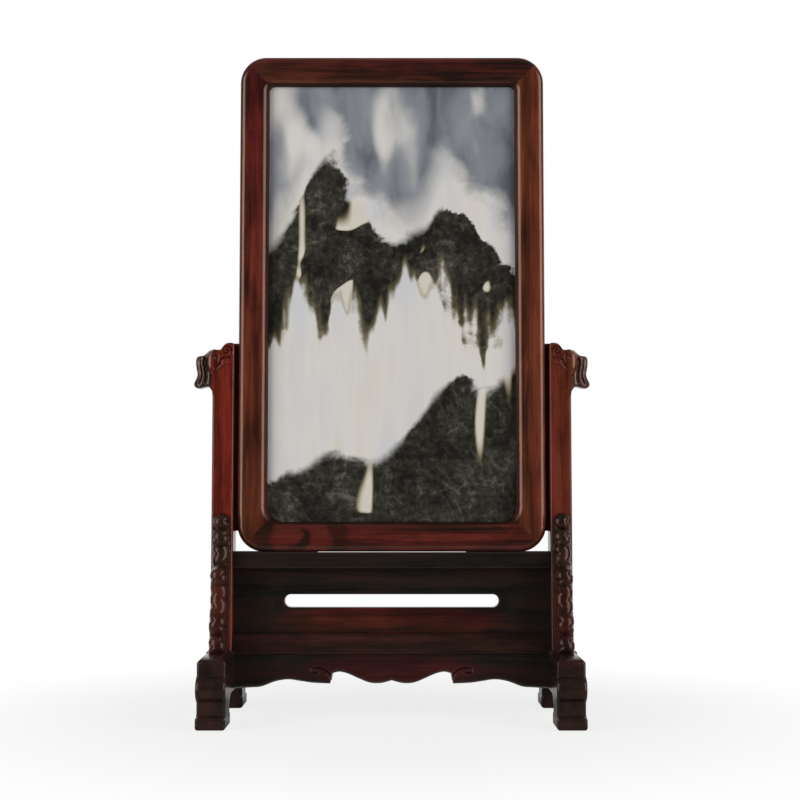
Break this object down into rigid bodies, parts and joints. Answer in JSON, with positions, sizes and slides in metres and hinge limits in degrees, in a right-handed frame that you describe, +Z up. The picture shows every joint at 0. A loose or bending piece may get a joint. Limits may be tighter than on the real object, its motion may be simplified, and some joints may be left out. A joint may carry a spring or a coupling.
{
  "type": "table screen",
  "caption": "Table screen: a marble panel in a mitred, round-cornered wooden frame that lifts out of a pierced stand with grooved posts, carved brackets and bridge-shaped feet.",
  "frame": {"origin": "on the floor, midway between the two feet and between their front and rear ends", "axes": "+Z up, along the tall side of the screen; +X to the right as seen from the front; -Y towards the viewer, so +Y is through the thin side"},
  "size_m": [0.33, 0.168, 0.55],
  "materials": {
    "frame_wood": "gloss",
    "post_wood": "gloss",
    "stand_wood": "gloss",
    "back_wood": "satin",
    "marble": "polished",
    "brass": "satin"
  },
  "bodies": {
    "stand": {"left_foot": "stand_wood", "right_foot": "stand_wood", "left_post": "post_wood", "right_post": "post_wood", "left_finial": "post_wood", "right_finial": "post_wood", "finial_dowels": "back_wood", "spandrel_front_left": "post_wood", "spandrel_front_right": "post_wood", "spandrel_rear_left": "post_wood", "spandrel_rear_right": "post_wood", "spandrel_pegs": "back_wood", "stand_top_rail": "stand_wood", "pierced_board": "stand_wood", "stand_bottom_rail": "stand_wood", "front_apron": "stand_wood", "rear_apron": "stand_wood"},
    "screen": {"frame_top_rail": "frame_wood", "frame_bottom_rail": "frame_wood", "frame_left_stile": "frame_wood", "frame_right_stile": "frame_wood", "marble_panel": "marble", "back_board": "back_wood", "back_bead_top": "frame_wood", "back_bead_bottom": "frame_wood", "back_bead_left": "frame_wood", "back_bead_right": "frame_wood", "bead_pins": "brass", "left_tongue": "stand_wood", "right_tongue": "stand_wood"}
  },
  "joints": [
    {"name": "screen_lift", "type": "slide", "parent": "stand", "child": "screen", "axis": [0, 0, 1], "range_m": [0, 0.156]}
  ]
}
